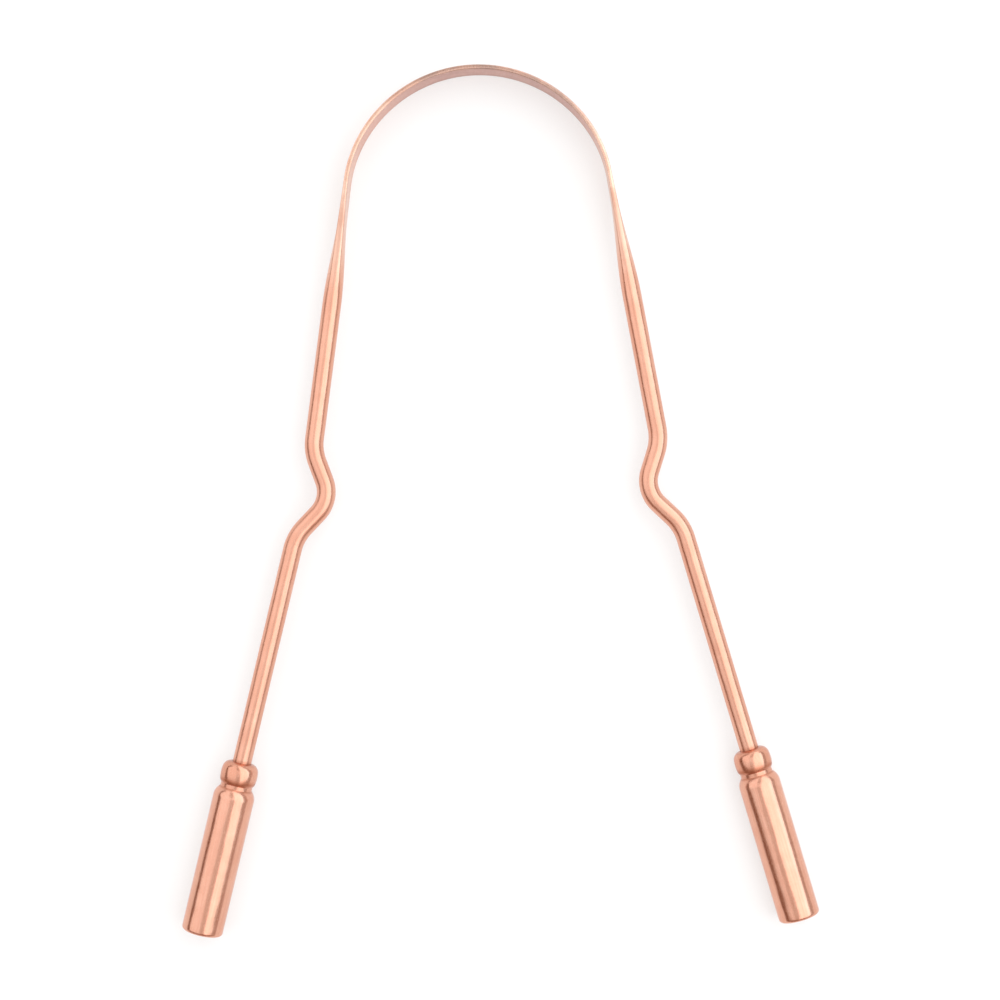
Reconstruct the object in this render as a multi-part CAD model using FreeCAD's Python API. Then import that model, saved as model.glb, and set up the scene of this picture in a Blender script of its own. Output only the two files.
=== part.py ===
# Copper tongue scraper, in millimetres.
# One round rod is bent into a bow. Across the arch it is pressed flat, thin in the plane of the
# bow and wide across it, and that flat stretch is the scraping blade. Below the arch each leg
# swells back to the round rod, has a finger rest bent into it, and ends in a turned grip.
# The scraper lies on a table: +X runs from the left leg to the right one, +Y to the arch and +Z up.
# The origin is on the table, midway between the legs and midway along the length.
import FreeCAD, Part
import math
import os

# Rod, and the blade pressed from it
ROD_DIAMETER = 3.0
BLADE_THICKNESS = 0.7
BLADE_WIDTH = 6.5
BLADE_EDGE_CHAMFER = 0.2

# Arch, measured on the centreline
CROWN_RADIUS = 21.3
CROWN_HALF_ANGLE = 55.0
SHOULDER_RADIUS = 19.7

# Upper leg: the pressed taper from blade to rod, then the plain rod down to the finger rest
TAPER_LENGTH = 19.6
UPPER_LEG_LENGTH = 21.15
UPPER_LEG_LEAN_ANGLE = 9.1

# Finger rest: three bends with a short straight run between each two
REST_TOP_RADIUS = 8.0
REST_INWARD_LEAN_ANGLE = 18.8
REST_UPPER_RUN = 3.15
REST_INNER_RADIUS = 5.0
REST_OUTWARD_LEAN_ANGLE = 45.2
REST_LOWER_RUN = 3.1
REST_BOTTOM_RADIUS = 7.7

# Lower leg, from the finger rest to the top of the grip, and on into the grip's bore
LOWER_LEG_LENGTH = 34.85
LOWER_LEG_LEAN_ANGLE = 15.1
ROD_SEAT_DEPTH = 14.0
ROD_END_CHAMFER = 0.4

# Turned grip: a bead, a neck groove and a long plain barrel, turned from one bar
GRIP_DIAMETER = 6.6
GRIP_LENGTH = 28.05
END_CHAMFER = 0.45
BEAD_DIAMETER = 5.9
BEAD_TOP_RIM = 0.52
NECK_DIAMETER = 5.1
NECK_LENGTH = 0.45
SHOULDER_SLOPE_ANGLE = 34.0
SHOULDER_ROUND = 0.8

# Blind bore that the rod's end is soldered into
SOLDER_FILM = 0.05
DRILL_POINT_ANGLE = 118.0

# Form of the pressed taper. Its sections have eight sides: two broad faces, two rims and the four
# corners between them. All are straight on the blade, and on the rod each is an eighth of a circle.
ROD_SIDE_ANGLE = 45.0
TAPER_SECTIONS = 7
NARROWING_LEAD = 0.75

QUARTER_TURN_ANGLE = 90.0
FULL_TURN_ANGLE = 360.0
UP = FreeCAD.Vector(0, 0, 1)
ACROSS = FreeCAD.Vector(1, 0, 0)


class BendPath:
    """Centreline of a rod, laid down as a wire bender feeds it: straight runs and bends in turn.

    The lean is the angle from -Y to the way the rod runs, positive away from the middle.
    """

    def __init__(self, start, lean):
        self.point = start
        self.lean = lean
        self.edges = []

    def direction(self):
        """Unit vector along the rod."""
        angle = math.radians(self.lean)
        return FreeCAD.Vector(math.sin(angle), -math.cos(angle), 0)

    def straight(self, length):
        """Feeds a straight run."""
        end = self.point + self.direction() * length
        self.edges.append(Part.LineSegment(self.point, end).toShape())
        self.point = end

    def bend_to(self, lean, radius):
        """Bends the rod round an arc of this radius until it has the new lean."""
        reach = radius if lean < self.lean else -radius
        centre = self.point + self.direction().cross(UP) * reach
        start = self.point
        self.lean = (self.lean + lean) / 2
        halfway = centre - self.direction().cross(UP) * reach
        self.lean = lean
        self.point = centre - self.direction().cross(UP) * reach
        self.edges.append(Part.Arc(start, halfway, self.point).toShape())


class TurnedOutline:
    """Half outline of a turned piece. A place is a distance along the axis and a radius."""

    def __init__(self, origin, axis, start):
        self.origin = origin
        self.axis = axis
        self.start = start
        self.last = start
        self.edges = []

    def spot(self, place):
        """The point in space for a place on the outline."""
        return self.origin + self.axis * place[0] + UP * place[1]

    def line_to(self, place):
        """Adds a straight edge."""
        self.edges.append(Part.LineSegment(self.spot(self.last), self.spot(place)).toShape())
        self.last = place

    def arc_to(self, place, centre):
        """Adds the shorter arc about this centre, from the last place to the new one."""
        middle, start, end = (self.spot(item) for item in (centre, self.last, place))
        radius = start.distanceToPoint(middle)
        bisector = ((start - middle) + (end - middle)).normalize()
        self.edges.append(Part.Arc(start, middle + bisector * radius, end).toShape())
        self.last = place

    def turn(self):
        """Closes the outline and revolves it into a solid."""
        self.line_to(self.start)
        face = Part.Face(Part.Wire(self.edges))
        return as_solid(face.revolve(self.origin, self.axis, FULL_TURN_ANGLE))


def as_solid(shape):
    """The one solid of a shape, with its seams between like faces removed."""
    solids = shape.removeSplitter().Solids
    if len(solids) != 1:
        raise ValueError("expected one solid, found %d" % len(solids))
    return solids[0]


def blend(first, second, share):
    """The value that lies this share of the way from the first to the second."""
    return first + (second - first) * share


def eased(share):
    """Share of the way up a smooth step that starts and ends level."""
    return share ** 2 * (3 - 2 * share)


def pressed_section(centre, along, width, thickness, roundness_share):
    """Eight-sided wire across the rod, its width along Z and its thickness in the bow's plane.

    The roundness goes from none on the blade, where every side is straight and the corner sides
    are chamfers, to full on the rod, where the sides make one circle.
    """
    side_angle = math.radians(ROD_SIDE_ANGLE / 2)
    bulge = math.tan(side_angle * roundness_share / 2)
    face_share = blend(1 - BLADE_EDGE_CHAMFER / (BLADE_WIDTH / 2), math.sin(side_angle), roundness_share)
    rim_share = blend(1 - BLADE_EDGE_CHAMFER / (BLADE_THICKNESS / 2), math.sin(side_angle), roundness_share)
    face_up = width / 2 * face_share
    face_out = thickness / 2 - face_up * bulge
    rim_out = thickness / 2 * rim_share
    rim_up = width / 2 - rim_out * bulge

    half = [(face_out, face_up), (rim_out, rim_up), (-rim_out, rim_up), (-face_out, face_up)]
    corners = half + [(-out, -up) for out, up in half]
    return section_wire(centre, along, corners, bulge)


def section_wire(centre, along, corners, bulge):
    """Closed wire through the corners of a section, given as distances outwards and up.

    Each side is an arc that stands out from its chord by the bulge times half the chord.
    """
    outward = UP.cross(along)
    sides = []
    for index, (out, up) in enumerate(corners):
        next_out, next_up = corners[(index + 1) % len(corners)]
        start = centre + outward * out + UP * up
        end = centre + outward * next_out + UP * next_up
        normal = outward * (next_up - up) + UP * (out - next_out)
        middle = (start + end + normal * bulge) / 2
        if bulge == 0:
            sides.append(Part.LineSegment(start, end).toShape())
        else:
            sides.append(Part.Arc(start, middle, end).toShape())
    return Part.Wire(sides)


def blade_section(centre, along):
    """The blade's section: flat faces and rims with chamfered corners."""
    return pressed_section(centre, along, BLADE_WIDTH, BLADE_THICKNESS, 0)


def round_section(centre, along):
    """The plain rod's section."""
    return Part.Wire([Part.Circle(centre, along, ROD_DIAMETER / 2).toShape()])


def swept(edges, section):
    """Solid of a section carried along a path in the bow's plane, its width kept upright."""
    pipe = Part.BRepOffsetAPI.MakePipeShell(Part.Wire(edges))
    pipe.setBiNormalMode(UP)
    pipe.add(section)
    pipe.build()
    pipe.makeSolid()
    return pipe.shape()


def pressed_taper(start, along):
    """Loft along the upper leg from the flat blade to the round rod.

    The width draws in ahead of the filling out of the thickness, so that the section's area rises
    steadily to the rod's.
    """
    sections = [blade_section(start, along)]
    for index in range(1, TAPER_SECTIONS):
        share = index / (TAPER_SECTIONS - 1)
        filling_share = eased(share)
        width = blend(BLADE_WIDTH, ROD_DIAMETER, eased(share ** NARROWING_LEAD))
        thickness = blend(BLADE_THICKNESS, ROD_DIAMETER, filling_share)
        centre = start + along * (TAPER_LENGTH * share)
        sections.append(pressed_section(centre, along, width, thickness, filling_share))
    return Part.makeLoft(sections, True, False)


def right_half():
    """The bow's right half, cut at the crown, with the crown's centreline at zero.

    Returns its solids, the point where the rod enters the grip, and the way it runs there.
    """
    arch = BendPath(FreeCAD.Vector(0, 0, 0), QUARTER_TURN_ANGLE)
    crown = blade_section(arch.point, arch.direction())
    arch.bend_to(QUARTER_TURN_ANGLE - CROWN_HALF_ANGLE, CROWN_RADIUS)
    arch.bend_to(UPPER_LEG_LEAN_ANGLE, SHOULDER_RADIUS)

    along = arch.direction()
    leg = BendPath(arch.point + along * TAPER_LENGTH, UPPER_LEG_LEAN_ANGLE)
    leg_top = round_section(leg.point, along)
    leg.straight(UPPER_LEG_LENGTH)
    leg.bend_to(-REST_INWARD_LEAN_ANGLE, REST_TOP_RADIUS)
    leg.straight(REST_UPPER_RUN)
    leg.bend_to(REST_OUTWARD_LEAN_ANGLE, REST_INNER_RADIUS)
    leg.straight(REST_LOWER_RUN)
    leg.bend_to(LOWER_LEG_LEAN_ANGLE, REST_BOTTOM_RADIUS)
    leg.straight(LOWER_LEG_LENGTH)
    seat = leg.point
    leg.straight(ROD_SEAT_DEPTH - ROD_END_CHAMFER)

    tip = Part.makeCone(ROD_DIAMETER / 2, ROD_DIAMETER / 2 - ROD_END_CHAMFER, ROD_END_CHAMFER,
                        leg.point, leg.direction())
    solids = [swept(arch.edges, crown), pressed_taper(arch.point, along), swept(leg.edges, leg_top), tip]
    return solids, seat, leg.direction()


def bow(half, lift):
    """The whole rod as one solid, mirrored from its right half and lifted into place."""
    right = half[0].fuse(half[1:])
    left = right.mirror(FreeCAD.Vector(0, 0, 0), ACROSS)
    whole = as_solid(right.fuse(left))
    whole.translate(lift)
    return whole


def grip(top, axis):
    """A turned grip, from the middle of its bead's top face down its axis."""
    radius = GRIP_DIAMETER / 2
    bore = ROD_DIAMETER / 2 + SOLDER_FILM
    bead = BEAD_DIAMETER / 2

    # The bead's ball, from the flat rim round the bore to the neck groove
    rim = bore + BEAD_TOP_RIM
    neck = NECK_DIAMETER / 2
    ball_centre = math.sqrt(bead ** 2 - rim ** 2)
    neck_start = ball_centre + math.sqrt(bead ** 2 - neck ** 2)
    neck_end = neck_start + NECK_LENGTH

    # The sloping shoulder that brings the neck out to the barrel, and the round at its top
    slope = math.radians(SHOULDER_SLOPE_ANGLE)
    slope_top = radius - SHOULDER_ROUND * (1 - math.cos(slope))
    slope_end = neck_end + (slope_top - neck) / math.tan(slope)
    barrel_start = slope_end + SHOULDER_ROUND * math.sin(slope)

    outline = TurnedOutline(top, axis, (0, bore))
    outline.line_to((0, rim))
    outline.arc_to((neck_start, neck), (ball_centre, 0))
    outline.line_to((neck_end, neck))
    outline.line_to((slope_end, slope_top))
    outline.arc_to((barrel_start, radius), (barrel_start, radius - SHOULDER_ROUND))
    outline.line_to((GRIP_LENGTH - END_CHAMFER, radius))
    outline.line_to((GRIP_LENGTH, radius - END_CHAMFER))
    outline.line_to((GRIP_LENGTH, 0))
    drill_point = bore / math.tan(math.radians(DRILL_POINT_ANGLE / 2))
    outline.line_to((ROD_SEAT_DEPTH + drill_point, 0))
    outline.line_to((ROD_SEAT_DEPTH, bore))
    return outline.turn()


def resting_lift(seat, axis):
    """Moves the model from the crown to the table, and to the middle of its length."""
    end = seat + axis * GRIP_LENGTH
    bottom = end.y - abs(axis.x) * (GRIP_DIAMETER / 2 - END_CHAMFER)
    arch_top = BLADE_THICKNESS / 2
    return FreeCAD.Vector(0, -(arch_top + bottom) / 2, max(GRIP_DIAMETER, BLADE_WIDTH) / 2)


def mirrored(vector):
    """The same place or direction on the left side."""
    return FreeCAD.Vector(-vector.x, vector.y, vector.z)


def main():
    half, seat, axis = right_half()
    lift = resting_lift(seat, axis)
    nodes = {
        "scraper_bow": bow(half, lift),
        "right_grip": grip(seat + lift, axis),
        "left_grip": grip(mirrored(seat + lift), mirrored(axis)),
    }
    os.makedirs("parts", exist_ok=True)
    for name, shape in nodes.items():
        shape.exportStep("parts/%s.step" % name)
        print("%s: valid %s, %.1f mm3" % (name, shape.isValid(), shape.Volume))


main()
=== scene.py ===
"""Looks of the copper tongue scraper: the bent and pressed rod, its two turned grips, the table
and the studio round them. All lengths are in metres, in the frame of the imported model."""
import math
import bpy
import numpy as np
from mathutils import Euler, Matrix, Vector


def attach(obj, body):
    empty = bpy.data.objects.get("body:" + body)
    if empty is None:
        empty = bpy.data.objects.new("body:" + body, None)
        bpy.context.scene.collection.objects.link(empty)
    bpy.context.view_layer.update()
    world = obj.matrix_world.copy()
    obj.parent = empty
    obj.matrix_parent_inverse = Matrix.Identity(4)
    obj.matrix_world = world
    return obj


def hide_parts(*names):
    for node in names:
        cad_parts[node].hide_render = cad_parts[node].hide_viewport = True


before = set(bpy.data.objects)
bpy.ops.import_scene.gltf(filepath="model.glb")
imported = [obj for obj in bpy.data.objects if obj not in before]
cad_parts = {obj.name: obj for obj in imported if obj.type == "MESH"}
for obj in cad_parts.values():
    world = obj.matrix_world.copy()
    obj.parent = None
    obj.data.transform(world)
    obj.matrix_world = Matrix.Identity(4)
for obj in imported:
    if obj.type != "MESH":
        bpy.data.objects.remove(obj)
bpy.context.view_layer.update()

MM = 0.001

# Rod and blade
ROD_RADIUS = 1.5 * MM
BLADE_HALF_THICKNESS = 0.35 * MM
BLADE_HALF_WIDTH = 3.25 * MM
ROD_END_CHAMFER = 0.4 * MM
ROUND_CROWN = math.radians(45)
NARROWING_LEAD = 0.75
ROUNDING_LAG = 1.5
RIM_SQUARENESS = 0.42
RIM_ROUNDING_LAG = 1.2

# Centreline of one half, from the crown of the arch to the rod's end. A lean is the angle from -Y
# in degrees, positive away from the middle.
CROWN_RADIUS, SHOULDER_RADIUS = 21.3 * MM, 19.7 * MM
TAPER_LENGTH, UPPER_LEG_LENGTH = 19.6 * MM, 21.15 * MM
REST_TOP_RADIUS, REST_UPPER_RUN = 8.0 * MM, 3.15 * MM
REST_INNER_RADIUS, REST_LOWER_RUN = 5.0 * MM, 3.1 * MM
REST_BOTTOM_RADIUS, LOWER_LEG_LENGTH = 7.7 * MM, 34.85 * MM
ROD_SEAT_DEPTH = 14.0 * MM
LEAN_AT_CROWN, LEAN_AT_SHOULDER, UPPER_LEG_LEAN = 90.0, 35.0, 9.1
REST_INWARD_LEAN, REST_OUTWARD_LEAN, LOWER_LEG_LEAN = -18.8, 45.2, 15.1

# Runs of the centreline in turn: a bend's radius and the lean at its end, or a straight's length
RUNS = [
    (CROWN_RADIUS, LEAN_AT_SHOULDER), (SHOULDER_RADIUS, UPPER_LEG_LEAN),
    (TAPER_LENGTH + UPPER_LEG_LENGTH, None), (REST_TOP_RADIUS, REST_INWARD_LEAN),
    (REST_UPPER_RUN, None), (REST_INNER_RADIUS, REST_OUTWARD_LEAN), (REST_LOWER_RUN, None),
    (REST_BOTTOM_RADIUS, LOWER_LEG_LEAN), (LOWER_LEG_LENGTH + ROD_SEAT_DEPTH, None)]

# Turned grip. Places on it are measured from its start, along the rod's axis.
GRIP_RADIUS = 3.3 * MM
GRIP_LENGTH = 28.05 * MM
END_ROUND = 0.6 * MM
FACE_INNER_RADIUS = 0.15 * MM
BEAD_RADIUS = 2.95 * MM
BEAD_TOP = 0.05 * MM
BEAD_MIDDLE = 2.05 * MM
BEAD_SIDE_ROUND = 5.0 * MM
BEAD_TOP_ROUND = 1.3 * MM
BEAD_FOOT_ROUND = 1.1 * MM
NECK_START = 3.70 * MM
NECK_RADIUS = 2.55 * MM
NECK_LENGTH = 0.46 * MM
NECK_CORNER_ROUND = 0.2 * MM
SHOULDER_SLOPE = 42.0
SHOULDER_ROUND = 2.2 * MM
BORE_RADIUS = 1.55 * MM
DRILL_HALF_ANGLE = 59.0
DRILL_POINT = BORE_RADIUS / math.tan(math.radians(DRILL_HALF_ANGLE))
DRILL_TIP_SHARE = 0.1

# Height of the axis over the table, and where the crown's centreline is
AXIS_HEIGHT = 3.3 * MM
CROWN_Y = 68.1255 * MM

# Points on each quarter of the rod's section, round the grip, and along each run of its outline
SECTION_QUARTER_POINTS = 12
POINTS_ROUND_GRIP = 96
BORE_POINTS, BEAD_TOP_POINTS, BEAD_SIDE_POINTS, BEAD_FOOT_POINTS = 8, 20, 24, 12
NECK_CORNER_POINTS, SHOULDER_POINTS, BARREL_POINTS, END_POINTS, FACE_POINTS = 7, 18, 38, 10, 10

# Least angle and rise that a face of the section is worked out with, where the blade is flat
LEAST_CROWN, LEAST_RISE = 1e-4, 1e-9

# An edge sharper than this is shaded as an edge, and a closing point lies this far beyond its ring
# in the UV map
SHARP_EDGE = math.radians(32)
FAN_REACH = 1.0 * MM

# Where the bow's finishes, its painted shade and its painted highlight lie: the rim and the edge
# by the height on the section, and the others by the distance from the crown
RIM_START, RIM_RISE = 2.75 * MM, 0.4 * MM
EDGE_START, EDGE_RISE = 1.1 * MM, 1.5 * MM
PRESSED_FADE = 0.8 * TAPER_LENGTH
# Painted shade on the bow a little right of the crown: its middle, how far it is full, its fade
CROWN_SHADE_MIDDLE, CROWN_SHADE_REACH, CROWN_SHADE_FADE = 4 * MM, 9 * MM, 15 * MM
# Painted highlight from the arch's flanks down the tapers, starting sooner on the rims
HIGHLIGHT_START, HIGHLIGHT_RIM_LEAD, HIGHLIGHT_RISE = 21 * MM, 12 * MM, 9 * MM
HIGHLIGHT_END, HIGHLIGHT_FALL = 48 * MM, 11 * MM
# Line of painted shade on the rod just before its grip: its lead and width
JOINT_LEAD, JOINT_WIDTH = 0.1 * MM, 0.28 * MM

# Where the grip's finishes lie, and its lines of painted shade: place, width and strength
BARREL_START, BARREL_RISE = 4.9 * MM, 0.6 * MM
BARREL_END, BARREL_FALL = 27.6 * MM, 0.3 * MM
BEAD_END, BEAD_FADE = 3.1 * MM, 0.4 * MM
SHADE_LINES = [
    (3.15 * MM, 0.45 * MM, 1.0), (BEAD_TOP, 0.25 * MM, 0.5), (4.32 * MM, 0.16 * MM, 0.8)]


def run_ends():
    """Distance from the crown and lean at the end of each run. A bend's length is its radius times
    its turn, and a straight keeps the lean."""
    ends, leans = [0.0], [LEAN_AT_CROWN]
    for size, lean in RUNS:
        if lean is None:
            ends.append(ends[-1] + size)
            leans.append(leans[-1])
        else:
            ends.append(ends[-1] + size * abs(math.radians(lean - leans[-1])))
            leans.append(lean)
    return ends, leans


RUN_ENDS, RUN_LEANS = run_ends()
TAPER_START, REST_START, REST_END, ROD_END = (RUN_ENDS[number] for number in (2, 3, 8, 9))
TAPER_END = TAPER_START + TAPER_LENGTH
GRIP_START = ROD_END - ROD_SEAT_DEPTH

# Stretches of the rod with evenly spaced rings: where each starts and ends, and how many it has.
# The closer rings about the grip's start carry the painted shade line where the rod meets the grip.
RING_STRETCHES = [
    (0, TAPER_START, 91), (TAPER_START, TAPER_END, 61), (TAPER_END, REST_START, 25),
    (REST_START, REST_END, 97), (REST_END, ROD_END - ROD_END_CHAMFER, 49),
    (GRIP_START - 1.2 * MM, GRIP_START + 0.6 * MM, 13), (ROD_END, ROD_END, 1)]


def smooth_step(share):
    """Three times the square of the share less twice its cube, with the share held to 0 and 1."""
    share = np.clip(share, 0, 1)
    return share ** 2 * (3 - 2 * share)


def rise(value, start, length):
    """Smooth step from zero at the start to one a length further on."""
    return smooth_step((value - start) / length)


def fall(value, end, length):
    """Smooth step from one, a length before the end, to zero at the end."""
    return smooth_step((end - value) / length)


def bell(value, place, width):
    """Bell curve about a place: e to the power of minus the square of the offset over the width."""
    return np.exp(-((value - place) / width) ** 2)


def centreline(distance):
    """Point and lean at each distance from the crown along the right half of the rod.

    The lean runs evenly along each straight or bend, and the point is the running sum of short
    chords: each is its step, times sin(h) / h for half its turn h, along the lean at its middle.
    """
    knots = np.unique(np.concatenate([distance, RUN_ENDS]))
    knot_leans = np.radians(np.interp(knots, RUN_ENDS, RUN_LEANS))
    half_turn = np.diff(knot_leans) / 2
    middle = knot_leans[:-1] + half_turn
    step = np.diff(knots) * np.sinc(half_turn / np.pi)
    x = np.concatenate([[0], np.cumsum(step * np.sin(middle))])
    y = np.concatenate([[0], np.cumsum(-step * np.cos(middle))]) + CROWN_Y
    return tuple(np.interp(distance, knots, values) for values in (x, y, knot_leans))


def section_sizes(distance):
    """Half width, half thickness and crown angle of the section, at each distance from the crown.

    The thickness follows a smooth step of the share of the taper, the width one of the share raised
    to the narrowing lead, and the crown angle the thickness's step raised to the rounding lag.
    """
    share = np.clip((distance - TAPER_START) / TAPER_LENGTH, 0, 1)
    filling = smooth_step(share)
    narrowing = smooth_step(share ** NARROWING_LEAD)
    half_width = BLADE_HALF_WIDTH + (ROD_RADIUS - BLADE_HALF_WIDTH) * narrowing
    half_thickness = BLADE_HALF_THICKNESS + (ROD_RADIUS - BLADE_HALF_THICKNESS) * filling
    return half_width, half_thickness, ROUND_CROWN * filling ** ROUNDING_LAG


def face_arc(corner_out, corner_up, half_thickness, crown):
    """One face of the section, from its lower corner to just before its upper one.

    The height z is the corner's height times sin(c g) / sin(c), for g from -1 to 1 and c the crown
    angle, and on the flat blade g is drawn towards the corners. The arc's middle stands out to the
    half thickness, by a rise r over the corners. Its curvature k is 2 r / (r^2 + corner height^2),
    and at the height z it has fallen back by k z^2 / (1 + the root of 1 - k^2 z^2).
    """
    g = np.linspace(-1, 1, SECTION_QUARTER_POINTS + 1)[None, :-1]
    roundness = crown / ROUND_CROWN
    g = g * roundness + np.sin(g * np.pi / 2) * (1 - roundness)
    crown = np.maximum(crown, LEAST_CROWN)
    up = corner_up * np.sin(crown * g) / np.sin(crown)
    middle_rise = np.maximum(half_thickness - corner_out, LEAST_RISE)
    curvature = 2 * middle_rise / (middle_rise ** 2 + corner_up ** 2)
    bulge = curvature * up ** 2
    return half_thickness - bulge / (1 + np.sqrt(np.maximum(1 - bulge * curvature, 0))), up


def rim_arc(corner_out, corner_up, half_width, crown):
    """Upper rim of the section, from its outer corner to just before its inner one.

    It is an arc whose cosine runs from 1 to -1 and whose sine from 0 to 1 and back, over their
    values at its ends. On the rod they are left so. On the blade they are raised to the squareness,
    which makes a fuller rim, and in between to a power that grows with the rod's roundness, raised
    to the rim's rounding lag.
    """
    turn = np.linspace(0, 1, SECTION_QUARTER_POINTS + 1)[None, :-1]
    angle = crown + (np.pi - 2 * crown) * turn
    power = RIM_SQUARENESS + (1 - RIM_SQUARENESS) * (crown / ROUND_CROWN) ** RIM_ROUNDING_LAG
    across = np.cos(angle) / np.cos(crown)
    above = (np.sin(angle) - np.sin(crown)) / (1 - np.sin(crown))
    across = np.sign(across) * np.abs(across) ** power
    above = np.clip(above, 0, 1) ** power
    return corner_out * across, corner_up + (half_width - corner_up) * above


def rod_section(half_width, half_thickness, crown):
    """Closed section of two faces and two rims, as distances outwards and up, one row a section.

    With q the tangent of half the crown angle, a rim has the radius T - (W - T) q / (1 - q) about
    (0, +-(W - radius)), for the half width W and the half thickness T. A face joins the rims' ends,
    which are its corners. The second face and rim are the first ones after half a turn.
    """
    half_width, half_thickness, crown = (
        sizes[:, None] for sizes in (half_width, half_thickness, crown))
    q = np.tan(crown / 2)
    radius = half_thickness - (half_width - half_thickness) * q / (1 - q)
    corner_out = radius * np.cos(crown)
    corner_up = half_width - radius + radius * np.sin(crown)
    face_out, face_up = face_arc(corner_out, corner_up, half_thickness, crown)
    rim_out, rim_up = rim_arc(corner_out, corner_up, half_width, crown)
    return (np.concatenate([face_out, rim_out, -face_out, -rim_out], axis=1),
            np.concatenate([face_up, rim_up, -face_up, -rim_up], axis=1))


def linked(name, data):
    """New object of a mesh or a camera, linked to the scene."""
    item = bpy.data.objects.new(name, data)
    bpy.context.scene.collection.objects.link(item)
    return item


def ring_faces(count, around):
    """Faces through a stack of closed rings, with a fan to a closing point at each end.

    Vertex k of ring i joins vertex k + 1 of ring i and both of ring i + 1, with k taken round. The
    two closing points come after the rings.
    """
    index = np.arange(count * around).reshape(count, around)
    after = np.roll(index, -1, axis=1)
    quads = np.stack([index[:-1], after[:-1], after[1:], index[1:]], axis=-1).reshape(-1, 4)
    first = np.full(around, count * around)
    start_fan = np.stack([first, after[0], index[0]], axis=-1)
    end_fan = np.stack([first + 1, index[-1], after[-1]], axis=-1)
    return quads.tolist() + start_fan.tolist() + end_fan.tolist()


def store(mesh, key, values):
    """Attribute with a number or a vector at each vertex of the rings. A closing point gets the
    mean of its ring."""
    kind, field = ("FLOAT", "value") if values.ndim == 2 else ("FLOAT_VECTOR", "vector")
    closing = np.array([values[0].mean(axis=0), values[-1].mean(axis=0)])
    flat = np.concatenate([values.reshape(-1, *values.shape[2:]), closing])
    attribute = mesh.attributes.new(key, kind, "POINT")
    attribute.data.foreach_set(field, flat.ravel().astype(np.float32))


def lay_out(mesh, along, around, girth):
    """UV map along_and_around, with a pair for each face corner in the order of ring_faces.

    U is the ring's distance along the piece. V is the share of the way round, k / around, times the
    girth, and at a closing point that of the middle of each triangle's side.
    """
    k = np.arange(around)
    quad_u = np.stack([along[:-1], along[:-1], along[1:], along[1:]], axis=-1)
    quad_u = np.repeat(quad_u[:, None, :], around, axis=1)
    quad_v = np.stack([k, k + 1, k + 1, k], axis=-1) / around * girth
    quad_v = np.repeat(quad_v[None, :, :], len(along) - 1, axis=0)
    fan_v = np.stack([k + 0.5, k + 1, k], axis=-1) / around * girth
    start_u = np.broadcast_to([along[0] - FAN_REACH, along[0], along[0]], (around, 3))
    end_u = np.broadcast_to([along[-1] + FAN_REACH, along[-1], along[-1]], (around, 3))
    us = np.concatenate([quad_u.ravel(), start_u.ravel(), end_u.ravel()])
    vs = np.concatenate([quad_v.ravel(), fan_v.ravel(), fan_v[:, [0, 2, 1]].ravel()])
    layer = mesh.uv_layers.new(name="along_and_around")
    layer.data.foreach_set("uv", np.stack([us, vs], axis=-1).ravel().astype(np.float32))


def tube(name, rings, closing_points, attributes, along, girth):
    """Closed piece through a stack of rings, with its attributes and UV map and its shading."""
    mesh = bpy.data.meshes.new(name)
    vertices = np.concatenate([rings.reshape(-1, 3), closing_points])
    mesh.from_pydata(vertices.tolist(), [], ring_faces(*rings.shape[:2]))
    for key, values in attributes.items():
        store(mesh, key, values)
    lay_out(mesh, along, rings.shape[1], girth)
    mesh.shade_smooth()
    mesh.set_sharp_from_angle(angle=SHARP_EDGE)
    mesh.update()
    return linked(name, mesh)


def both_halves(values):
    """Values along the whole rod, from those of its right half, which start at the crown."""
    return np.concatenate([values[:0:-1], values])


def bow_finishes(up, spread):
    """Shares of the bow's finishes and of its painted shade and highlight, from the height on the
    section and the distance from the crown.

    The distance is negative on the left. Each share is a smooth rise or fall, or a bell about the
    line where the rod meets its grip. The crown share and that bell are painted shade, and the
    pale share is a painted highlight, which starts nearer the crown on the rims.
    """
    height, away = np.abs(up), np.abs(spread)
    pressed = 1 - rise(away, TAPER_START, PRESSED_FADE)
    rim = rise(height, RIM_START, RIM_RISE)
    # Painted highlight, starting sooner on the rims
    highlight_rising = rise(away, HIGHLIGHT_START - HIGHLIGHT_RIM_LEAD * rim, HIGHLIGHT_RISE)
    return {
        "pressed": pressed,
        "rim": rim,
        "edge": rise(height, EDGE_START, EDGE_RISE) * pressed,
        # Painted shade a little right of the crown
        "crown": 1 - rise(np.abs(spread - CROWN_SHADE_MIDDLE), CROWN_SHADE_REACH, CROWN_SHADE_FADE),
        # Painted highlight on the flanks and tapers
        "pale": highlight_rising * fall(away, HIGHLIGHT_END, HIGHLIGHT_FALL),
        # Painted shade where the rod meets its grip
        "joint_shade": bell(away, GRIP_START - JOINT_LEAD, JOINT_WIDTH)}


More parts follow.
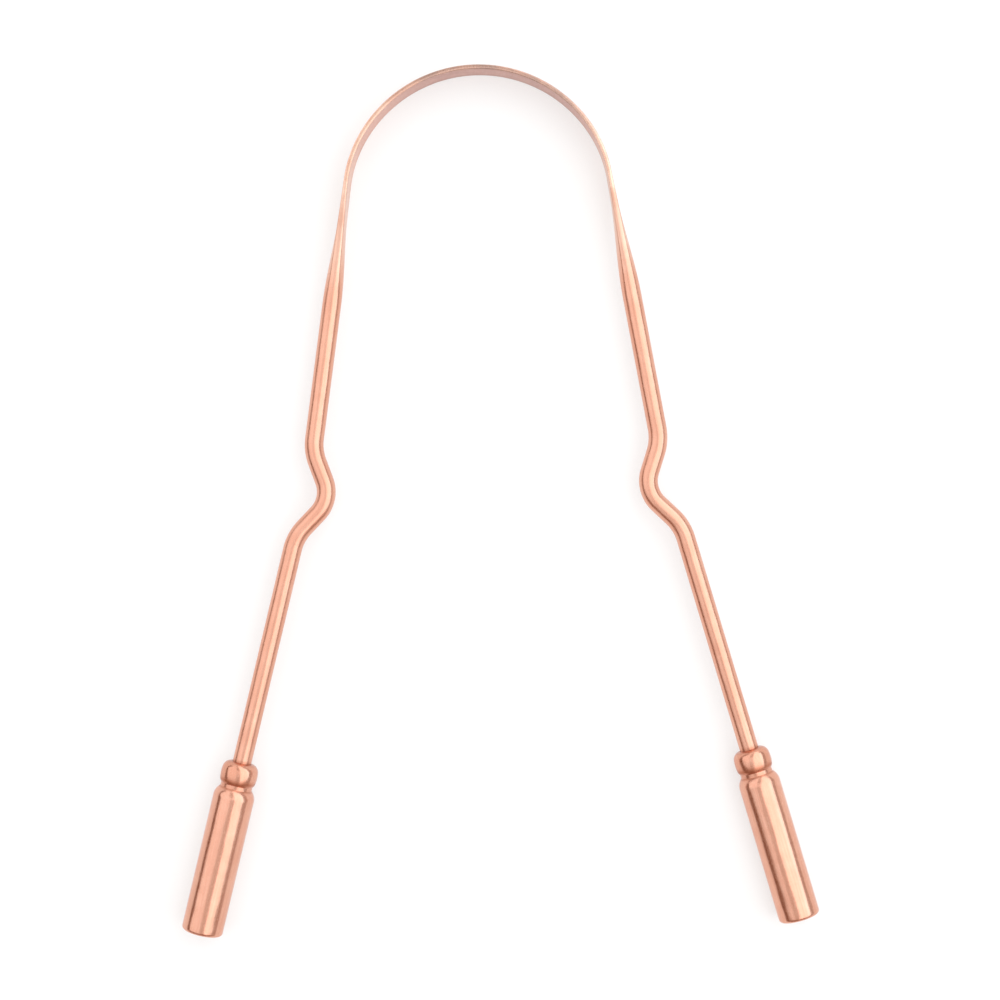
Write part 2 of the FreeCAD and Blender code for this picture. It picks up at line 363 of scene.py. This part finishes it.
def bow_rod():
    """The whole rod from the left end to the right one, as a section carried along the centreline.

    A point is the centre, plus the section's outward distance along (cos lean, sin lean), plus its
    upward distance along Z. The left half repeats the right one with X turned round. The last ring
    is drawn in by the end's chamfer.
    """
    distance = np.unique(np.concatenate([np.linspace(*stretch) for stretch in RING_STRETCHES]))
    x, y, lean = centreline(distance)
    out, up = rod_section(*section_sizes(distance))
    at_end = distance > ROD_END - ROD_END_CHAMFER / 2
    tip = np.where(at_end, 1 - ROD_END_CHAMFER / ROD_RADIUS, 1.0)[:, None]
    out, up = out * tip, up * tip
    right = np.stack([x[:, None] + out * np.cos(lean)[:, None],
                      y[:, None] + out * np.sin(lean)[:, None],
                      AXIS_HEIGHT + up], axis=-1)
    left = right[:0:-1] * np.array([-1, 1, 1])
    rings = np.concatenate([left, right])
    tips = np.array([[-x[-1], y[-1], AXIS_HEIGHT], [x[-1], y[-1], AXIS_HEIGHT]])

    signed = np.concatenate([-distance[:0:-1], distance])
    spread = np.broadcast_to(signed[:, None], rings.shape[:2])
    out, up = both_halves(out), both_halves(up)
    place = np.stack([out, up, spread], axis=-1) / MM
    return tube("bow_copper_rod", rings, tips, {**bow_finishes(up, spread), "rod_place": place},
                signed, 2 * math.pi * ROD_RADIUS)


def straight(start, end, height, count):
    """Points on an outline at even steps from the start to the end, all at one height."""
    return np.stack([np.linspace(start, end, count), np.full(count, height)], axis=-1)


def arc(centre, radius, start, end, count):
    """Points on an outline at even angles about a centre, from the start angle to the end angle."""
    angle = np.radians(np.linspace(start, end, count))
    across, up = centre[0] + radius * np.cos(angle), centre[1] + radius * np.sin(angle)
    return np.stack([across, up], axis=-1)


def angle_to(centre, place):
    """Angle in degrees of the line from an outline's centre to a place."""
    return math.degrees(math.atan2(place[1] - centre[1], place[0] - centre[0]))


def meeting(first, reach, second, other_reach):
    """Place at two given distances from two centres, on the left of the line from the first to the
    second: so far along the line as the cosine rule says, and the rest of the reach aside."""
    across, up = second[0] - first[0], second[1] - first[1]
    gap = math.hypot(across, up)
    share = (gap ** 2 + reach ** 2 - other_reach ** 2) / (2 * gap ** 2)
    aside = math.sqrt(reach ** 2 - (share * gap) ** 2) / gap
    return first[0] + share * across - aside * up, first[1] + share * up + aside * across


def grip_outline():
    """Outline of the grip as places (distance from the grip's start, radius), in turning order.

    The bore, the flat top round it, the bead, the neck and its two corner rounds, the sloping
    shoulder, the barrel and the rounded end follow each other. The bead is a long arc between two
    corner rounds that touch it from inside, and its lower one also touches the neck's.
    """
    tip = (ROD_SEAT_DEPTH + DRILL_POINT * (1 - DRILL_TIP_SHARE), BORE_RADIUS * DRILL_TIP_SHARE)
    side = (BEAD_MIDDLE, BEAD_RADIUS - BEAD_SIDE_ROUND)
    before_middle = BEAD_MIDDLE - BEAD_TOP - BEAD_TOP_ROUND
    top_reach = BEAD_SIDE_ROUND - BEAD_TOP_ROUND
    top = (BEAD_TOP + BEAD_TOP_ROUND, side[1] + math.sqrt(top_reach ** 2 - before_middle ** 2))
    corner_radius = NECK_RADIUS + NECK_CORNER_ROUND
    upper = (NECK_START, corner_radius)
    lower = (NECK_START + NECK_LENGTH, corner_radius)
    foot = meeting(side, BEAD_SIDE_ROUND - BEAD_FOOT_ROUND,
                   upper, BEAD_FOOT_ROUND + NECK_CORNER_ROUND)
    slope = math.radians(SHOULDER_SLOPE)
    shoulder_radius = GRIP_RADIUS - SHOULDER_ROUND
    slope_start = corner_radius - NECK_CORNER_ROUND * math.cos(slope)
    slope_rise = shoulder_radius + SHOULDER_ROUND * math.cos(slope) - slope_start
    turns = (NECK_CORNER_ROUND + SHOULDER_ROUND) * math.sin(slope)
    shoulder = (lower[0] + slope_rise / math.tan(slope) + turns, shoulder_radius)
    end = (GRIP_LENGTH - END_ROUND, GRIP_RADIUS - END_ROUND)
    top_to_side, side_to_foot = angle_to(side, top), angle_to(side, foot)
    foot_to_neck, neck_to_foot = angle_to(foot, upper), angle_to(upper, foot)
    return np.concatenate([
        [tip],
        straight(ROD_SEAT_DEPTH, BEAD_TOP, BORE_RADIUS, BORE_POINTS),
        arc(top, BEAD_TOP_ROUND, 180, top_to_side, BEAD_TOP_POINTS),
        arc(side, BEAD_SIDE_ROUND, top_to_side, side_to_foot, BEAD_SIDE_POINTS)[1:],
        arc(foot, BEAD_FOOT_ROUND, side_to_foot, foot_to_neck, BEAD_FOOT_POINTS)[1:],
        arc(upper, NECK_CORNER_ROUND, neck_to_foot, -90, NECK_CORNER_POINTS)[1:],
        arc(lower, NECK_CORNER_ROUND, -90, SHOULDER_SLOPE - 90, NECK_CORNER_POINTS),
        arc(shoulder, SHOULDER_ROUND, 90 + SHOULDER_SLOPE, 90, SHOULDER_POINTS),
        straight(shoulder[0], end[0], GRIP_RADIUS, BARREL_POINTS + 2)[1:-1],
        arc(end, END_ROUND, 90, 0, END_POINTS),
        straight(end[1], FACE_INNER_RADIUS, GRIP_LENGTH, FACE_POINTS + 1)[1:, ::-1]])


def grip_finishes(distance):
    """Shares of the grip's finishes and painted shade at each distance from its start. The lines of
    painted shade are bells, and where two of them meet the stronger one holds."""
    lines = [strength * bell(distance, place, width) for place, width, strength in SHADE_LINES]
    barrel = rise(distance, BARREL_START, BARREL_RISE) * fall(distance, BARREL_END, BARREL_FALL)
    bead = 1 - rise(distance, BEAD_END, BEAD_FADE)
    return {"barrel": barrel, "shaded_lines": np.max(lines, axis=0), "bead": bead}


def turned_grip(name, side):
    """One grip: its outline turned about the rod's axis. Side is 1 for the right, -1 for the left.

    A point is the top's place, plus the distance along the axis, plus the radius along
    (outward cos a + Z sin a), for the angle a round the axis. Outward, Z and the axis are a
    right-handed set on both sides, which points the faces outwards. The pattern's place has the
    sine times the side, so the two grips show different parts of it.
    """
    x, y, lean = (values[0] for values in centreline(np.array([GRIP_START])))
    axis = np.array([side * math.sin(lean), -math.cos(lean), 0])
    outward = np.array([math.cos(lean), side * math.sin(lean), 0])
    top = np.array([side * x, y, AXIS_HEIGHT])
    distance, radius = grip_outline().T
    angle = np.linspace(0, 2 * math.pi, POINTS_ROUND_GRIP + 1)[:-1]
    around = np.cos(angle)[:, None] * outward + np.sin(angle)[:, None] * np.array([0, 0, 1])
    rings = top + distance[:, None, None] * axis + radius[:, None, None] * around
    poles = np.array([top + axis * (ROD_SEAT_DEPTH + DRILL_POINT), top + axis * GRIP_LENGTH])

    shape = rings.shape[:2]
    place = np.stack([radius[:, None] * np.cos(angle), side * radius[:, None] * np.sin(angle),
                      np.broadcast_to(distance[:, None], shape)], axis=-1) / MM
    attributes = {key: np.broadcast_to(share[:, None], shape)
                  for key, share in grip_finishes(distance).items()}
    along = np.concatenate([[0], np.cumsum(np.hypot(np.diff(distance), np.diff(radius)))])
    return tube(name, rings, poles, {**attributes, "turned_place": place},
                along, 2 * math.pi * GRIP_RADIUS)


class Nodes:
    """Short calls that add nodes to a tree and link them."""

    def __init__(self, tree):
        self.tree = tree
        tree.nodes.clear()

    def add(self, kind, inputs=None, **settings):
        """Node with its settings, each of its inputs linked to a socket or set to a value."""
        node = self.tree.nodes.new(kind)
        for key, value in settings.items():
            setattr(node, key, value)
        for key, value in (inputs or {}).items():
            if isinstance(value, bpy.types.NodeSocket):
                self.tree.links.new(value, node.inputs[key])
            else:
                node.inputs[key].default_value = value
        return node

    def attribute(self, name, output="Fac"):
        """Number, or with output Vector the vector, that the mesh stores under a name."""
        return self.add("ShaderNodeAttribute", attribute_name=name).outputs[output]

    def maths(self, operation, first, second, clamp=False):
        """First and second put together by an operation."""
        node = self.add("ShaderNodeMath", {0: first, 1: second},
                        operation=operation, use_clamp=clamp)
        return node.outputs[0]

    def times(self, first, second, clamp=False):
        """First multiplied by second."""
        return self.maths("MULTIPLY", first, second, clamp)

    def noise(self, place, scale, stretch=None, detail=3.0, roughness=0.55):
        """Noise over a place, which is first multiplied by the stretch in its three directions."""
        if stretch:
            mapping = self.add("ShaderNodeMapping", {"Vector": place, "Scale": stretch})
            place = mapping.outputs["Vector"]
        node = self.add("ShaderNodeTexNoise", {
            "Vector": place, "Scale": scale, "Detail": detail, "Roughness": roughness})
        return node.outputs["Fac"]

    def spread(self, value, span, results, **settings):
        """Value carried from its span to the results, and held to them outside the span."""
        node = self.add("ShaderNodeMapRange", {
            "Value": value, "From Min": span[0], "From Max": span[1],
            "To Min": results[0], "To Max": results[1]}, **settings)
        return node.outputs["Result"]

    def mixed(self, factor, first, second):
        """Mix of two colours. The node has them as its inputs 6 and 7, and the mix as output 2."""
        node = self.add("ShaderNodeMix", {"Factor": factor, 6: first, 7: second}, data_type="RGBA")
        return node.outputs[2]

    def relief(self, layers):
        """Normal of a surface with layers of bumps, each a pattern and its height in metres."""
        normal = None
        for pattern, height in layers:
            inputs = {"Height": pattern, "Distance": height, "Strength": 1.0}
            if normal is not None:
                inputs["Normal"] = normal
            normal = self.add("ShaderNodeBump", inputs).outputs["Normal"]
        return normal


def fresh_material(name):
    """New material, and the calls that add nodes to it."""
    material = bpy.data.materials.new(name)
    material.use_nodes = True
    return material, Nodes(material.node_tree)


COPPER = (0.75, 0.385, 0.277, 1)
COPPER_BRIGHT = (0.82, 0.47, 0.35, 1)
COPPER_RED = (0.62, 0.265, 0.17, 1)
COPPER_BROWN = (0.40, 0.15, 0.09, 1)
# Brown of the painted shade on the grips and where the rod meets them
SHADE_BROWN = (0.42, 0.125, 0.06, 1)
PRESSED_COPPER = (0.70, 0.39, 0.32, 1)
# Colours of the painted shade at the crown, on its faces and on its rim
CROWN_SHADE_COPPER = (0.52, 0.25, 0.20, 1)
CROWN_RIM_SHADE_COPPER = (0.43, 0.29, 0.245, 1)
# Colour of the painted highlight on the flanks and tapers
HIGHLIGHT_COPPER = (0.83, 0.56, 0.44, 1)

# Patterns in the metal, over a place in mm across, up and along the piece
DRAWN_LINES = {"scale": 5.0, "stretch": (1, 1, 0.03)}
DRAWN_GRAIN = {"scale": 16.0, "stretch": (1, 1, 0.12)}
DRAWN_WAVES = {"scale": 0.55, "stretch": (1, 1, 0.35), "detail": 1.0}
DRAWN_BLOTCHES = {"scale": 0.35, "detail": 4.0, "roughness": 0.6}
CROSS_BRUSHING = {"scale": 7.0, "stretch": (0.3, 0.06, 1)}
TURNED_LINES = {"scale": 4.0, "stretch": (1, 1, 0.03)}
TURNED_GRAIN = {"scale": 14.0, "stretch": (1, 1, 0.10)}
TURNED_WAVES = {"scale": 0.42, "stretch": (1, 1, 0.45), "detail": 1.5}
TURNED_BLOTCHES = {"scale": 0.30, "detail": 4.0, "roughness": 0.6}
TURNED_RINGS = {"scale": 9.0, "stretch": (0.05, 0.05, 1)}

# Spans of a share or of a pattern's value over which a finish changes
WHOLE = (0, 1)
GRAIN_SPAN = (0.30, 0.70)
LINE_SPAN = (0.35, 0.70)
# Span over which the grips' painted shade lines change
SHADE_LINE_SPAN = (0.35, 0.65)
BLOTCH_SPAN = (0.38, 0.66)
EDGE_SPAN = (0.40, 0.62)
PATCH_SPAN = (0.40, 0.60)

# Share of each finish, painted shade and highlight where its pattern is low and where it is high
BRIGHT_SHARES = (0, 0.5)
LINE_SHARES = (0, 0.35)
# Share of the painted highlight
HIGHLIGHT_SHARES = (0.6, 0.95)
EDGE_SHARES = (0.1, 0.7)
WORN_RIM_SHARES = (0.95, 0.5)
# Share of the painted shade at the crown
CROWN_SHADE_SHARES = (0.65, 0.95)
# Share of the browner band under the rim
UNDER_RIM_SHARES = (0.5, 0.25)
BEAD_SHARES = (0.5, 0.2)
# Share of the grips' painted shade lines
SHADE_LINE_SHARES = (0.8, 0.5)

# Share of the pressed finish and of the painted shade where the rod meets its grip, and what
# stays of the lines' colour and of the relief on the rod and on the pressed blade
PRESSED_SHARE = 0.55
JOINT_SHADE_SHARE = 0.5
LINES_LEFT = (1, 0.3)
RELIEF_LEFT = (1, 0.5)

# Roughness of the two metals, what brushing and the groove add to it, and what a worn rim takes off
DRAWN_ROUGHNESS = (0.25, 0.35)
TURNED_ROUGHNESS = (0.19, 0.29)
BRUSHING_ROUGHNESS = (0.02, 0.12)
GROOVE_ROUGHNESS = 0.12
RIM_SMOOTHING = 0.12
ANISOTROPY = 0.5

# Heights of the relief
DRAWN_WAVE_HEIGHT, DRAWN_LINE_HEIGHT, DRAWN_GRAIN_HEIGHT = 0.06 * MM, 0.004 * MM, 0.0015 * MM
BRUSHING_HEIGHT = 0.003 * MM
TURNED_WAVE_HEIGHT, TURNED_LINE_HEIGHT, TURNED_RING_HEIGHT = 0.07 * MM, 0.005 * MM, 0.003 * MM


def finish_copper(nodes, colour, roughness, normal):
    """Metal shader with a colour, roughness and relief, its gloss drawn out along the piece."""
    tangent = nodes.add("ShaderNodeTangent", direction_type="UV_MAP", uv_map="along_and_around")
    shader = nodes.add("ShaderNodeBsdfPrincipled", {
        "Base Color": colour, "Metallic": 1.0, "Roughness": roughness, "Anisotropic": ANISOTROPY,
        "Tangent": tangent.outputs["Tangent"], "Normal": normal})
    nodes.add("ShaderNodeOutputMaterial", {"Surface": shader.outputs["BSDF"]})


def drawn_copper():
    """Drawn rod: fine lines and slow waves along it, a cross-brushed blade with bright rims.

    The blade is browner near its two long edges, and carries painted shade a little right of the
    crown of the arch. A painted highlight lies from the arch's flanks down the tapers, and a thin
    line of painted shade where the rod meets the grips.
    """
    material, n = fresh_material("drawn_copper")
    place = n.attribute("rod_place", "Vector")
    pressed, rim, edge, crown, pale, joint_shade = (
        n.attribute(name) for name in ("pressed", "rim", "edge", "crown", "pale", "joint_shade"))
    lines, grain, waves, blotches, brushing = (n.noise(place, **pattern) for pattern in (
        DRAWN_LINES, DRAWN_GRAIN, DRAWN_WAVES, DRAWN_BLOTCHES, CROSS_BRUSHING))

    colour = n.mixed(n.spread(blotches, BLOTCH_SPAN, BRIGHT_SHARES), COPPER, COPPER_BRIGHT)
    lined = n.times(n.spread(lines, LINE_SPAN, LINE_SHARES), n.spread(pressed, WHOLE, LINES_LEFT))
    colour = n.mixed(lined, colour, COPPER_RED)
    colour = n.mixed(n.times(pressed, PRESSED_SHARE), colour, PRESSED_COPPER)
    # Painted highlight from the arch's flanks down the tapers
    highlighted = n.times(pale, n.spread(blotches, BLOTCH_SPAN, HIGHLIGHT_SHARES))
    colour = n.mixed(highlighted, colour, HIGHLIGHT_COPPER)
    darkened = n.times(edge, n.spread(blotches, EDGE_SPAN, EDGE_SHARES))
    colour = n.mixed(darkened, colour, COPPER_RED)
    # Worn, brighter rim, which takes the painted highlight's colour where that lies
    worn = n.times(rim, n.spread(blotches, PATCH_SPAN, WORN_RIM_SHARES))
    colour = n.mixed(worn, colour, n.mixed(pale, COPPER_BRIGHT, HIGHLIGHT_COPPER))
    # Painted shade a little right of the crown, on the faces and on the rim
    crown_shaded = n.times(crown, n.spread(blotches, PATCH_SPAN, CROWN_SHADE_SHARES))
    colour = n.mixed(crown_shaded, colour, n.mixed(rim, CROWN_SHADE_COPPER, CROWN_RIM_SHADE_COPPER))
    # Browner band just under the rim, only where the crown's painted shade lies
    under_rim_band = n.times(n.maths("SUBTRACT", edge, rim), n.spread(blotches, PATCH_SPAN, UNDER_RIM_SHARES))
    colour = n.mixed(n.times(under_rim_band, crown, clamp=True), colour, COPPER_BROWN)
    # Painted shade in a thin line where the rod meets its grip
    colour = n.mixed(n.times(joint_shade, JOINT_SHADE_SHARE), colour, SHADE_BROWN)

    brushed = n.times(pressed, n.spread(brushing, GRAIN_SPAN, BRUSHING_ROUGHNESS))
    roughness = n.maths("ADD", n.spread(grain, GRAIN_SPAN, DRAWN_ROUGHNESS), brushed)
    roughness = n.maths("SUBTRACT", roughness, n.times(rim, RIM_SMOOTHING), clamp=True)

    off_rim = n.times(n.maths("SUBTRACT", 1.0, rim), n.spread(pressed, WHOLE, RELIEF_LEFT))
    normal = n.relief([
        (n.times(waves, off_rim), DRAWN_WAVE_HEIGHT),
        (n.times(lines, off_rim), DRAWN_LINE_HEIGHT),
        (n.times(grain, off_rim), DRAWN_GRAIN_HEIGHT),
        (n.times(brushing, pressed), BRUSHING_HEIGHT)])
    finish_copper(n, colour, roughness, normal)
    return material


def turned_copper():
    """Turned grip: rings round the bead, neck and end, brushed lines along the barrel, a redder
    bead, and lines of painted shade at the bead's top, at its foot and where the shoulder starts."""
    material, n = fresh_material("turned_copper")
    place = n.attribute("turned_place", "Vector")
    barrel, shaded_lines, bead = (n.attribute(name) for name in ("barrel", "shaded_lines", "bead"))
    lines, grain, waves, blotches, rings = (n.noise(place, **pattern) for pattern in (
        TURNED_LINES, TURNED_GRAIN, TURNED_WAVES, TURNED_BLOTCHES, TURNED_RINGS))

    colour = n.mixed(n.spread(blotches, BLOTCH_SPAN, BRIGHT_SHARES), COPPER, COPPER_BRIGHT)
    colour = n.mixed(n.spread(lines, LINE_SPAN, LINE_SHARES), colour, COPPER_RED)
    reddened = n.times(bead, n.spread(blotches, BLOTCH_SPAN, BEAD_SHARES))
    colour = n.mixed(reddened, colour, COPPER_RED)
    # Lines of painted shade at the bead's top, at its foot and where the shoulder starts
    darkened = n.times(shaded_lines, n.spread(blotches, SHADE_LINE_SPAN, SHADE_LINE_SHARES))
    colour = n.mixed(darkened, colour, SHADE_BROWN)

    roughness = n.spread(grain, GRAIN_SPAN, TURNED_ROUGHNESS)
    roughness = n.maths("ADD", roughness, n.times(shaded_lines, GROOVE_ROUGHNESS), clamp=True)

    off_barrel = n.maths("SUBTRACT", 1.0, barrel)
    normal = n.relief([
        (waves, TURNED_WAVE_HEIGHT),
        (n.times(lines, barrel), TURNED_LINE_HEIGHT),
        (n.times(rings, off_barrel), TURNED_RING_HEIGHT)])
    finish_copper(n, colour, roughness, normal)
    return material


def dress(piece, material, node):
    """Gives a piece its material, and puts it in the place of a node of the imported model."""
    piece.data.materials.append(material)
    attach(piece, "root")
    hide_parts(node)


rod_material, grip_material = drawn_copper(), turned_copper()
dress(bow_rod(), rod_material, "scraper_bow")
dress(turned_grip("right_turned_grip", 1), grip_material, "right_grip")
dress(turned_grip("left_turned_grip", -1), grip_material, "left_grip")


TABLE_REACH = 4.0
TABLE_GREY = (0.45, 0.45, 0.45, 1)
TABLE_LIFT = 0.54

WHITE = (1, 1, 1, 1)
COOLER = (0.98, 1.22, 1.32, 1)
PANEL_HEIGHT = 0.45

# Glowing panels: the corners, the span along Y over which the level changes, its levels there, and
# the span along X over which the colour turns cooler, if it does
PANELS = {
    "left_panel": ([(-1.02, -0.40), (-0.145, -0.40), (-0.145, 1.30), (-2.10, 1.30),
                    (-2.10, 0.90), (-1.28, 0.22)], (-0.18, -0.06), (1.16, 1.40), None),
    "right_panel": ([(0.052, -0.45), (1.10, -0.45), (1.10, 1.30), (0.052, 1.30)],
                    (-0.18, -0.06), (1.90, 1.98), (0.45, 0.85)),
    "middle_panel": ([(-0.145, -0.14), (0.052, -0.14), (0.052, 0.125), (-0.145, 0.125)],
                     (-0.14, -0.01), (0.78, 1.25), None)}

# Colours of the room, some of them brighter than white
CEILING = (0.80, 0.75, 0.70, 1)
FAR_CEILING = (0.50, 0.43, 0.39, 1)
RIGHT_CEILING = (0.52, 0.50, 0.49, 1)
LEFT_WALL = (0.27, 0.15, 0.10, 1)
RIGHT_WALL = (0.59, 0.52, 0.49, 1)
END_WALL = (0.42, 0.25, 0.18, 1)
END_WALL_RIGHT = (0.56, 0.40, 0.32, 1)
SKIRTING = (0.80, 0.77, 0.76, 1)
FAR_LEFT = (1.40, 1.40, 1.40, 1)
FAR_RIGHT = (1.98, 1.98, 1.98, 1)

# Strip from one side wall over the ceiling to the other: each colour at its angle in degrees from
# straight up towards +X, and the angles at the strip's two ends
STRIP = [
    (-64, LEFT_WALL), (-54, FAR_CEILING), (-38, FAR_CEILING), (-28, CEILING), (18, CEILING),
    (28, RIGHT_CEILING), (54, RIGHT_CEILING), (64, RIGHT_WALL)]
STRIP_ENDS = (-90, 90)

# Spans of a direction's X, Y or Z over which one part of the room passes into the next
END_WALL_X, END_WALL_Y = (-0.10, 0.30), (-0.85, -0.35)
FAR_LEFT_X, FAR_RIGHT_X, FAR_WALL_Y = (-0.11, -0.06), (0.0, 0.05), (0.85, 0.94)
SKIRTING_Z = (0.042, 0.060)

# Camera: the lens and the film in mm, and the turn in degrees
LENS, FILM_WIDTH = 83.38, 36.0
NEAREST, FARTHEST = 0.01, 20.0
CAMERA_TURN = (-0.994, 1.208, -1.671)
CAMERA_AIM = (1.981 * MM, -0.058 * MM, AXIS_HEIGHT)
CAMERA_DISTANCE = 367.8 * MM


def flat_sheet(name, corners, height):
    """One flat face through the corners, at a height over the table."""
    mesh = bpy.data.meshes.new(name)
    mesh.from_pydata([(x, y, height) for x, y in corners], [], [list(range(len(corners)))])
    return linked(name, mesh)


def seen_white(nodes):
    """One for a ray from the camera or off metal or through glass, and zero for any other."""
    path = nodes.add("ShaderNodeLightPath")
    either = nodes.maths("MAXIMUM", path.outputs["Is Camera Ray"], path.outputs["Is Glossy Ray"])
    return nodes.maths("MAXIMUM", either, path.outputs["Is Transmission Ray"])


def table():
    """Plain pale table: a flat square that takes the object's shadow and is seen white."""
    corners = [(x * TABLE_REACH, y * TABLE_REACH) for x, y in ((-1, -1), (1, -1), (1, 1), (-1, 1))]
    floor = flat_sheet("table", corners, 0)
    material, n = fresh_material("pale_table")
    diffuse = n.add("ShaderNodeBsdfDiffuse", {"Color": TABLE_GREY})
    lift = n.add("ShaderNodeEmission", {"Strength": n.times(seen_white(n), TABLE_LIFT)})
    both = n.add("ShaderNodeAddShader", {0: diffuse.outputs[0], 1: lift.outputs[0]})
    n.add("ShaderNodeOutputMaterial", {"Surface": both.outputs[0]})
    floor.data.materials.append(material)


def panel(name, corners, span, levels, cooler_span):
    """Flat glowing panel over the object.

    The level runs by a smooth step along Y, over its span, and beyond that it stays as it is. Over
    the cooler span, if there is one, the colour turns from white to a cooler one along X.
    """
    card = flat_sheet(name, corners, PANEL_HEIGHT)
    material, n = fresh_material(name)
    place = n.add("ShaderNodeTexCoord").outputs["Object"]
    place = n.add("ShaderNodeSeparateXYZ", {"Vector": place}).outputs
    level = n.spread(place["Y"], span, levels, interpolation_type="SMOOTHSTEP")
    colour = WHITE
    if cooler_span:
        colour = n.mixed(n.spread(place["X"], cooler_span, WHOLE), WHITE, COOLER)
    glow = n.add("ShaderNodeEmission", {"Color": colour, "Strength": level})
    n.add("ShaderNodeOutputMaterial", {"Surface": glow.outputs[0]})
    card.data.materials.append(material)


def studio():
    """Plain room round the object: a pale ceiling and two walls, as a colour for each direction.

    The colour is read off a strip by the direction's angle from straight up towards +X. The left
    wall is dark and warm, and the right one paler. Towards -Y the room ends in a brown wall, paler
    on its right. Towards +Y it ends in a bright one, which carries the two panels and their gap on.
    The lowest three degrees of every wall are pale, so that a low view ends in a pale strip.
    """
    world = bpy.data.worlds.new("studio")
    bpy.context.scene.world = world
    world.use_nodes = True
    n = Nodes(world.node_tree)
    direction = n.add("ShaderNodeTexCoord").outputs["Generated"]
    parts = n.add("ShaderNodeSeparateXYZ", {"Vector": direction}).outputs

    def passing(part, span, first, second):
        """First colour before the span of a part of the direction, and second after it."""
        return n.mixed(n.spread(parts[part], span, WHOLE), first, second)

    angle = n.maths("ARCTAN2", parts["X"], parts["Z"])
    strip = n.add("ShaderNodeValToRGB", {
        "Fac": n.spread(angle, [math.radians(end) for end in STRIP_ENDS], WHOLE)})
    ramp = strip.color_ramp.elements
    for number, (degrees, colour) in enumerate(STRIP):
        position = (degrees - STRIP_ENDS[0]) / (STRIP_ENDS[1] - STRIP_ENDS[0])
        element = ramp[number] if number < 2 else ramp.new(position)
        element.position = position
        element.color = colour

    end_wall = passing("X", END_WALL_X, END_WALL, END_WALL_RIGHT)
    room = passing("Y", END_WALL_Y, end_wall, strip.outputs["Color"])
    far_wall = passing("X", FAR_LEFT_X, FAR_LEFT, CEILING)
    far_wall = passing("X", FAR_RIGHT_X, far_wall, FAR_RIGHT)
    room = passing("Y", FAR_WALL_Y, room, far_wall)
    room = passing("Z", SKIRTING_Z, SKIRTING, room)
    light = n.add("ShaderNodeBackground", {"Color": room, "Strength": 1.0})
    n.add("ShaderNodeOutputWorld", {"Surface": light.outputs[0]})


def camera():
    """Camera over the object, about one degree off to the right and to the arch.

    Its place is the aim plus its distance times its own backward direction, and it is turned a
    little, so that the object leans to the left.
    """
    data = bpy.data.cameras.new("camera")
    data.lens, data.sensor_width = LENS, FILM_WIDTH
    data.clip_start, data.clip_end = NEAREST, FARTHEST
    view = linked("camera", data)
    turn = Euler([math.radians(angle) for angle in CAMERA_TURN])
    view.location = Vector(CAMERA_AIM) + turn.to_matrix() @ Vector((0, 0, CAMERA_DISTANCE))
    view.rotation_euler = turn
    bpy.context.scene.camera = view


table()
for name, settings in PANELS.items():
    panel(name, *settings)
studio()
camera()
bpy.context.scene.view_settings.view_transform = "Standard"
